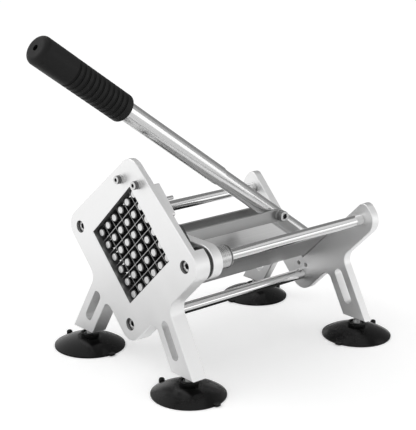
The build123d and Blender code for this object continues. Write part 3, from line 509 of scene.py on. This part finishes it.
def knurl_tree():
    """Sets ridges round a turned head."""
    tree, given = empty_tree("knurl", ("Blank", "Geometry"), ("Ridge", "Object"), ("Ridges", "Int"),
                             ("Radius", "Float"), ("Height", "Float"), ("Finish", "Material"))
    ring = add_node(tree, "GeometryNodeMeshCircle", {
        "Vertices": given["Ridges"], "Radius": given["Radius"]})
    spot = add_node(tree, "GeometryNodeInputPosition").outputs["Position"]
    outward = add_node(tree, "FunctionNodeAlignRotationToVector", {"Vector": spot},
                       axis="X", pivot_axis="Z")
    ridge = add_node(tree, "GeometryNodeObjectInfo", {"Object": given["Ridge"]})
    ridges = add_node(tree, "GeometryNodeInstanceOnPoints", {
        "Points": ring.outputs["Mesh"], "Instance": ridge.outputs["Geometry"],
        "Rotation": outward.outputs["Rotation"]})
    lift = add_node(tree, "ShaderNodeCombineXYZ", {"Z": given["Height"]})
    raised_ring = add_node(tree, "GeometryNodeTransform", {
        "Geometry": ridges.outputs["Instances"], "Translation": lift.outputs["Vector"]})
    joined = add_node(tree, "GeometryNodeJoinGeometry", {"Geometry": given["Blank"]})
    tree.links.new(raised_ring.outputs["Geometry"], joined.inputs["Geometry"])
    return end_tree(tree, joined.outputs["Geometry"], given["Finish"])


def stand_tree():
    """Stands a copy of a part on every point, turned, and spun about its own axis at random."""
    tree, given = empty_tree("stand", ("Seats", "Geometry"), ("Part", "Object"), ("Turn", "Vector"),
                             ("Spin", "Float"), ("Seed", "Int"), ("Finish", "Material"))
    part = add_node(tree, "GeometryNodeObjectInfo", {"Object": given["Part"]})
    turn = add_node(tree, "FunctionNodeEulerToRotation", {"Euler": given["Turn"]})
    copies = add_node(tree, "GeometryNodeInstanceOnPoints", {
        "Points": given["Seats"], "Instance": part.outputs["Geometry"],
        "Rotation": turn.outputs["Rotation"]})
    angle = add_node(tree, "FunctionNodeRandomValue", {"Seed": given["Seed"]}, data_type="FLOAT")
    tree.links.new(given["Spin"], angle.inputs[3])
    about = add_node(tree, "ShaderNodeCombineXYZ", {"Z": angle.outputs[1]})
    spin = add_node(tree, "FunctionNodeEulerToRotation", {"Euler": about.outputs["Vector"]})
    spun = add_node(tree, "GeometryNodeRotateInstances", {
        "Instances": copies.outputs["Instances"], "Rotation": spin.outputs["Rotation"]})
    return end_tree(tree, spun.outputs["Instances"], given["Finish"])


def linked(name, data):
    """A new object in the scene that shows a mesh, a lamp or a camera."""
    made = bpy.data.objects.new(name, data)
    bpy.context.scene.collection.objects.link(made)
    return made


def grown(mesh, tree, **values):
    """The plain mesh that a tree makes from a mesh, with its named inputs set."""
    source = linked("source", mesh)
    modifier = source.modifiers.new("shape", "NODES")
    modifier.node_group = tree
    for socket in tree.interface.items_tree:
        if socket.in_out == "INPUT" and socket.name in values:
            modifier[socket.identifier] = values[socket.name]
    ready = source.evaluated_get(bpy.context.evaluated_depsgraph_get())
    result = bpy.data.meshes.new_from_object(ready)
    bpy.data.objects.remove(source)
    return result


def stood(name, part, outward, seats, finish, spin, body):
    """Copies of a part on its seats as one piece, with its Z axis along the outward direction."""
    points = bpy.data.meshes.new("seats")
    points.from_pydata(seats, [], [])
    pattern = linked("pattern", part)
    turn = Vector(outward).to_track_quat("Z", "Y").to_euler()
    mesh = grown(points, stand_tree(), Part=pattern, Turn=turn[:], Spin=spin,
                 Seed=shapes().spin_seed, Finish=finish)
    bpy.data.objects.remove(pattern)
    piece = linked(name, mesh)
    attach(piece, body)
    return piece


# ---- Operators -----------------------------------------------------------------------------------
class CUTTER_OT_plates(bpy.types.Operator):
    """Finish the end plates, the carriage plate and the small aluminium blocks"""

    bl_idname = "cutter.plates"
    bl_label = "Plates"

    def execute(self, context):
        look = finishes()
        matte = look.plate_roughness
        # Painted shade: the walls of the front plate's window and counterbores, and of the blade
        # frame's opening, are darkened to 0.4 of the plate's colour.
        shaded = shade(look.plate, 0.4)
        in_opening = partial(in_window, reach=OPENING_WALL)
        dress(blasted_aluminium("blasted_aluminium", look.plate, matte),
              "rear_plate", "carriage_plate", "pivot_bracket", "link_lug")
        dress(blasted_aluminium("front_aluminium", look.plate, matte, (shade_in_front, shaded)),
              "front_plate")
        dress(blasted_aluminium("milled_aluminium", look.plate, matte, (in_opening, shaded)),
              "blade_frame")
        return {"FINISHED"}


class CUTTER_OT_rods(bpy.types.Operator):
    """Finish the guide rods, the tie rod, the bushes with their rings, and the bumpers"""

    bl_idname = "cutter.rods"
    bl_label = "Rods and bushes"

    def execute(self, context):
        look = finishes()
        dress(drawn_steel("ground_rod", look.rod, 0.1),
              "guide_rod_left", "guide_rod_right", "tie_rod")
        dress(turned_steel("turned_bush", look.steel, 0.26, (ENDLESS, 0.5, ENDLESS)),
              "guide_bush_left", "guide_bush_right")
        # Painted shade: the rings at the bushes' ends are steel darkened to a quarter, to show as a
        # dark line of shade.
        dark = shade(look.steel, 0.25)
        dress(turned_steel("ring_steel", dark, 0.3, (ENDLESS, 0.3, ENDLESS)),
              "bush_ring_left", "bush_ring_right")
        dress(moulded_rubber("ring_rubber", look.rubber, 0.55, pebble=0.5, depth=0.02),
              "bumper_left", "bumper_right")
        return {"FINISHED"}


class CUTTER_OT_blades(bpy.types.Operator):
    """Finish the blade grid"""

    bl_idname = "cutter.blades"
    bl_label = "Blades"

    # Node, its slope, and the share of the rods' colour that it keeps: painted shade, the falling
    # set darker than the rising set for how light falls on each
    BLADES = (("rising_blades", -QUARTER, 0.72), ("falling_blades", QUARTER, 0.6))

    def execute(self, context):
        rod = finishes().rod
        for node, slope, share in self.BLADES:
            along_edge = (math.pi / 2, slope, 0)
            dress(drawn_steel(f"strip_of_{node}", shade(rod, share), 0.3, along_edge, width=0.3),
                  node)
        return {"FINISHED"}


class CUTTER_OT_pusher(bpy.types.Operator):
    """Finish the pusher base and its pins"""

    bl_idname = "cutter.pusher"
    bl_label = "Pusher"

    def execute(self, context):
        look = finishes()
        dress(moulded_rubber("moulded_nylon", look.plastic, 0.5, pebble=0.3, depth=0.01,
                             gloss=0.35),
              "pusher_base")
        # Painted shade and reflection: the pins' sides below their tips are darkened to 0.22 of the
        # lever's colour, for the dark base and blades round them.
        sides = partial(below, level=-PIN_TIPS_Y - TIP_SKIN)
        dark = shade(look.lever, 0.22)
        dress(turned_steel("turned_pin", look.lever, 0.34, (ENDLESS, 0.4, ENDLESS), (sides, dark)),
              "pusher_pins")
        return {"FINISHED"}


class CUTTER_OT_linkage(bpy.types.Operator):
    """Finish the link bars, the lever, the trough, the washers and the pins"""

    bl_idname = "cutter.linkage"
    bl_label = "Lever and links"

    def execute(self, context):
        look = finishes()
        dress(drawn_steel("polished_lever", look.lever, 0.2, ALONG_LEVER),
              "lever_bar", "lever_tube", "lever_cross_pin")
        dress(drawn_steel("flat_bar", shade(look.steel, 0.8), 0.32),
              "link_bar_left", "link_bar_right")
        dress(drawn_steel("folded_sheet", shade(look.steel, 1.3), 0.34, width=1.2),
              "potato_trough")
        dress(turned_steel("bright_washer", look.steel, 0.3, (0.4, 0.4, 0.4)),
              "frame_washers", "frame_spring_washers", "frame_pin", "pivot_bolt",
              "link_pin_washers", "link_bolt_nut_end", "link_bolt_washers")
        return {"FINISHED"}


class CUTTER_OT_screws(bpy.types.Operator):
    """Knurl the heads of the socket cap screws and turn each in by a different amount"""

    bl_idname = "cutter.screws"
    bl_label = "Cap screws"

    # Node, where its heads point, and the share of its colour kept below its top: painted shade on
    # the flank of a screw whose top is painted lighter
    SCREWS = (("front_rod_screws", (0, -1, 0), 0.3), ("rear_rod_screws", (0, 1, 0), None),
              ("frame_screws", (0, -1, 0), 0.22), ("trough_screws", (0, 1, 0), None),
              ("bracket_screws", (0, 1, 0), None), ("base_screws", (0, 1, 0), None),
              ("lug_screws", (0, 1, 0), None), ("link_pin", (1, 0, 0), None),
              ("link_bolt_head_end", (1, 0, 0), 0.3))

    def execute(self, context):
        sizes = shapes()
        steel = finishes().steel
        depth = sizes.knurl_depth
        knurl = knurl_tree()
        for node, outward, share in self.SCREWS:
            boxes = solids(node)
            out = Vector(outward)
            spans = boxes[0][1] - boxes[0][0]
            whole = abs(spans.dot(out))
            size = (spans.z - MM) / 1.5
            root = spans.z / 2 - depth
            # Painted light and shade: a screw with a share gets a lighter colour, kept on its top,
            # and painted shade on its flank below; the others get one even colour.
            colour = shade(steel, 1.2 if share else 0.9)
            top = max(corner.dot(out) for corner in boxes[0])
            flanks = partial(below, level=top - HEAD_SKIN, outward=outward)
            finish = turned_steel(f"steel_of_{node}", colour, 0.26, (0.5, 0.5, 0.5),
                                  (flanks, shade(colour, share)) if share else None)
            half_ridge = 0.46 * math.tau * root / sizes.ridges
            ridge = linked("ridge", ridge_blank(0.7 * size, depth, half_ridge))
            part = grown(screw_blank(size, whole - size, depth), knurl, Ridge=ridge,
                         Ridges=sizes.ridges, Radius=root, Height=0.13 * size, Finish=finish)
            bpy.data.objects.remove(ridge)
            seats = [(low + high) / 2 + out * (whole / 2 - size) for low, high in boxes]
            piece = stood(f"knurled_{node}", part, outward, seats, finish, math.pi / 3, home(node))
            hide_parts(node)
        return {"FINISHED"}


class CUTTER_OT_nuts(bpy.types.Operator):
    """Chamfer the hexagon nuts"""

    bl_idname = "cutter.nuts"
    bl_label = "Nuts"

    # Node, where it points, and the radius of its bore in millimetres
    NUTS = (("pivot_nut", (-1, 0, 0), 4.05), ("link_pin_nut", (-1, 0, 0), 3.05),
            ("link_bolt_nut", (-1, 0, 0), 3.05), ("foot_nuts", (0, 0, 1), 3.05))

    def execute(self, context):
        steel = finishes().steel
        bright = turned_steel("nut_steel", steel, 0.3, (0.6, 0.6, 0.6))
        # Painted shade: the foot nuts, down in the necks of the cups, get steel darkened to 0.22
        # for the shade there.
        shaded = turned_steel("shaded_nut_steel", shade(steel, 0.22), 0.42, (0.6, 0.6, 0.6))
        for node, outward, bore in self.NUTS:
            boxes = solids(node)
            out = Vector(outward)
            spans = boxes[0][1] - boxes[0][0]
            height = abs(spans.dot(out))
            across = min(spans[i] for i in range(3) if not out[i])
            part = nut_blank(across, height, bore * MM)
            seats = [(low + high) / 2 - out * height / 2 for low, high in boxes]
            finish = shaded if node == "foot_nuts" else bright
            piece = stood(f"chamfered_{node}", part, outward, seats, finish, 0.0, home(node))
            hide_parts(node)
        return {"FINISHED"}


class CUTTER_OT_studs(bpy.types.Operator):
    """Cut the thread of the four foot studs"""

    bl_idname = "cutter.studs"
    bl_label = "Foot studs"

    def execute(self, context):
        sizes = shapes()
        finish = turned_steel("stud_steel", finishes().steel, 0.3, (0.6, 0.6, 0.6))
        boxes = solids("foot_studs")
        spans = boxes[0][1] - boxes[0][0]
        part = stud_blank(spans.x / 2, spans.z, sizes.thread_pitch, sizes.thread_depth)
        seats = [((low.x + high.x) / 2, (low.y + high.y) / 2, low.z) for low, high in boxes]
        piece = stood("threaded_foot_studs", part, (0, 0, 1), seats, finish, 0.0, "frame")
        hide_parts("foot_studs")
        return {"FINISHED"}


class CUTTER_OT_rubber(bpy.types.Operator):
    """Finish the grip and the suction cups"""

    bl_idname = "cutter.rubber"
    bl_label = "Grip and cups"

    def execute(self, context):
        look = finishes()
        grip = shade(look.rubber, 0.3)
        # Painted shade: the grooves darken to 0.12 of the grip's colour, for the shade that falls
        # in them.
        dress(moulded_rubber("grip_rubber", grip, 0.5, pebble=0.6, depth=0.02, gloss=0.2,
                             painted_shade=(shade_in_grooves, shade(grip, 0.12))),
              "lever_grip")
        dress(moulded_rubber("cup_rubber", shade(look.rubber, 0.15), 0.24, pebble=0.8, depth=0.004,
                             gloss=0.19),
              "suction_cup_front_left", "suction_cup_front_right",
              "suction_cup_rear_left", "suction_cup_rear_right")
        return {"FINISHED"}


# ---- Studio --------------------------------------------------------------------------------------
CAMERA_SPOT = (0.7691, -0.6761, 0.4297)
CAMERA_TURN = (48.26, 16.59, 0.865)     # to the left, down, and round the line of sight
SENSOR = 36.0                           # millimetres across
CLIP = (0.05, 30.0)
PAPER = (0.93, 0.93, 0.93)
PAPER_GLOW = 0.21                       # lifts the floor to white where a ray sees it
FLOOR_REACH = 6.0
FLOOR_DROP = 0.2 * MM                   # keeps the floor clear of the cups' rims

# Where each lamp stands, the direction that its width runs along, and its width and height.
LAMPS = (("key_lamp", (-0.9, -1.2, 1.3), (1, 0, 0), (1.2, 1.2)),
         ("low_lamp", (1.0, 1.15, 0.30), (0, 0, 1), (0.5, 0.7)))

# Grey cards that show in the metal alone, with how bright each is. Those behind the machine
# stand at CARDS_Y and are given by their edges along X and along Z.
CARDS_Y = 1.0
WALL_CARDS = (("card_left", (-1.7, 0.12), (0.0, 1.9), 0.3),
              ("card_middle", (0.12, 0.62), (0.1, 0.62), 0.5),
              ("card_right", (0.85, 1.7), (0.42, 0.80), 0.5),
              ("card_above", (0.12, 1.7), (1.22, 2.3), 0.2))
# Those on the floor are given by their centre and their size along X and Y. They are painted shade
# of the floor under and round the machine, as the metal shows it.
FLOOR_CARDS = (("card_under", (-0.05, 0.07), (0.19, 0.18), 0.03),
               ("card_between", (-0.065, -0.065), (0.09, 0.085), 0.15),
               ("card_ahead", (-0.03, -0.185), (0.32, 0.15), 0.56),
               ("card_beside", (0.36, 0.18), (0.36, 0.40), 0.8))


def facing(spot, aim, along):
    """Stands at a spot with its back to a point, its X axis as near to a direction as it can."""
    out = (Vector(spot) - Vector(aim)).normalized()
    level = (Vector(along) - out * out.dot(Vector(along))).normalized()
    return Matrix.Translation(spot) @ Matrix((level, out.cross(level), out)).transposed().to_4x4()


def sheet(name, wide, high, paint):
    """A flat rectangle of a material, centred on the origin."""
    x, y = wide / 2, high / 2
    mesh = bpy.data.meshes.new(name)
    mesh.from_pydata([(-x, -y, 0), (x, -y, 0), (x, y, 0), (-x, y, 0)], [], [(0, 1, 2, 3)])
    mesh.materials.append(paint)
    return linked(name, mesh)


def soft_lamp(name, spot, aim, along, size, power):
    """A rectangular soft lamp at a spot, shining towards a point."""
    data = bpy.data.lights.new(name, "AREA")
    data.shape = "RECTANGLE"
    data.size, data.size_y = size
    data.energy = power
    linked(name, data).matrix_world = facing(spot, aim, along)


def dark_card(name, spot, normal, size, tone):
    """A grey card that only shows in shiny surfaces, where it gives round bars their dark lines."""
    paint = bpy.data.materials.new(name)
    paint.use_nodes = True
    tree = paint.node_tree
    tree.nodes.clear()
    glow = add_node(tree, "ShaderNodeEmission", {"Color": (1, 1, 1, 1), "Strength": tone})
    add_node(tree, "ShaderNodeOutputMaterial", {"Surface": glow})
    card = sheet(name, *size, paint)
    card.matrix_world = facing(spot, Vector(spot) - Vector(normal), (1, 0, 0))
    card.visible_camera = card.visible_diffuse = card.visible_shadow = False
    card.visible_transmission = card.visible_volume_scatter = False


def seen_rays(tree):
    """1 for rays from the camera, or through gloss or glass; 0 for light that falls on things."""
    path = add_node(tree, "ShaderNodeLightPath").outputs
    shiny = add_node(tree, "ShaderNodeMath", {
        0: path["Is Glossy Ray"], 1: path["Is Transmission Ray"]}, operation="MAXIMUM")
    return add_node(tree, "ShaderNodeMath", {0: path["Is Camera Ray"], 1: shiny},
                    operation="MAXIMUM")


def white_world(surroundings):
    """A room that is white to look at and lights the machine with its own strength."""
    world = bpy.data.worlds.new("studio_white")
    world.use_nodes = True
    tree = world.node_tree
    tree.nodes.clear()
    strength = add_node(tree, "ShaderNodeMapRange", {
        "Value": seen_rays(tree), "To Min": surroundings, "To Max": 1.0})
    sky = add_node(tree, "ShaderNodeBackground", {"Color": (1, 1, 1, 1), "Strength": strength})
    add_node(tree, "ShaderNodeOutputWorld", {"Surface": sky})
    return world


def white_floor():
    """Matte white paper that takes soft shadows."""
    paper, tree, shader = new_finish("white_paper", PAPER, 0.0, 0.9)
    shader.inputs["Specular IOR Level"].default_value = 0.0
    shader.inputs["Emission Color"].default_value = (1, 1, 1, 1)
    glow = add_node(tree, "ShaderNodeMath", {0: seen_rays(tree), 1: PAPER_GLOW},
                    operation="MULTIPLY")
    tree.links.new(glow.outputs["Value"], shader.inputs["Emission Strength"])
    floor = sheet("floor", 2 * FLOOR_REACH, 2 * FLOOR_REACH, paper)
    floor.location.z = -FLOOR_DROP


def aimed_camera(lens):
    """The camera in front of the machine's right side, above it."""
    yaw, pitch, roll = map(math.radians, CAMERA_TURN)
    ahead = Vector((-math.sin(yaw) * math.cos(pitch), math.cos(yaw) * math.cos(pitch),
                    -math.sin(pitch)))
    level = Vector((math.cos(yaw), math.sin(yaw), 0))
    upright = level.cross(ahead)
    right = math.cos(roll) * level + math.sin(roll) * upright
    up = math.cos(roll) * upright - math.sin(roll) * level
    data = bpy.data.cameras.new("camera")
    data.sensor_width = SENSOR
    data.lens = lens
    data.clip_start, data.clip_end = CLIP
    camera = linked("camera", data)
    turn = Matrix((right, up, -ahead)).transposed().to_4x4()
    camera.matrix_world = Matrix.Translation(CAMERA_SPOT) @ turn
    return camera


class CUTTER_OT_stage(bpy.types.Operator):
    """Make the white floor, the soft lamps, the cards and the camera"""

    bl_idname = "cutter.stage"
    bl_label = "Studio"

    def execute(self, context):
        scene = context.scene
        studio = scene.cutter_studio
        middle = sum(CAD_BOX, Vector()) / 2
        scene.world = white_world(studio.surroundings)
        white_floor()
        for (name, spot, along, size), power in zip(LAMPS, (studio.key, studio.low)):
            soft_lamp(name, spot, middle, along, size, power)
        for name, (left, right), (bottom, top), tone in WALL_CARDS:
            spot = ((left + right) / 2, CARDS_Y, (bottom + top) / 2)
            dark_card(name, spot, (0, 1, 0), (right - left, top - bottom), tone)
        for name, (x, y), size, tone in FLOOR_CARDS:
            dark_card(name, (x, y, 0), (0, 0, 1), size, tone)
        scene.camera = aimed_camera(studio.lens)
        scene.view_settings.view_transform = "Standard"
        return {"FINISHED"}


OPERATORS = (CUTTER_OT_plates, CUTTER_OT_rods, CUTTER_OT_blades, CUTTER_OT_pusher,
             CUTTER_OT_linkage, CUTTER_OT_screws, CUTTER_OT_nuts, CUTTER_OT_studs,
             CUTTER_OT_rubber, CUTTER_OT_stage)


class CUTTER_PT_sidebar(bpy.types.Panel):
    """Lists the settings and the steps"""

    bl_idname = "CUTTER_PT_sidebar"
    bl_label = "Fry Cutter"
    bl_space_type = "VIEW_3D"
    bl_region_type = "UI"
    bl_category = "Fry Cutter"

    def draw(self, context):
        scene = context.scene
        for group in (scene.cutter_finishes, scene.cutter_shapes, scene.cutter_studio):
            for name in group.bl_rna.properties.keys():
                if name not in {"rna_type", "name"}:
                    self.layout.prop(group, name)
        for step in OPERATORS:
            self.layout.operator(step.bl_idname)


GROUPS = {"cutter_finishes": CutterFinishes, "cutter_shapes": CutterShapes,
          "cutter_studio": CutterStudio}
CLASSES = (*GROUPS.values(), *OPERATORS, CUTTER_PT_sidebar)


def register():
    """Adds the classes and their settings to Blender."""
    for cls in CLASSES:
        bpy.utils.register_class(cls)
    for name, group in GROUPS.items():
        setattr(bpy.types.Scene, name, PointerProperty(type=group))


def unregister():
    """Takes them out again."""
    for name in GROUPS:
        delattr(bpy.types.Scene, name)
    for cls in reversed(CLASSES):
        bpy.utils.unregister_class(cls)


def main():
    """Registers the add-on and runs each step."""
    register()
    for step in OPERATORS:
        group, name = step.bl_idname.split(".")
        getattr(getattr(bpy.ops, group), name)()


if __name__ == "__main__":
    main()
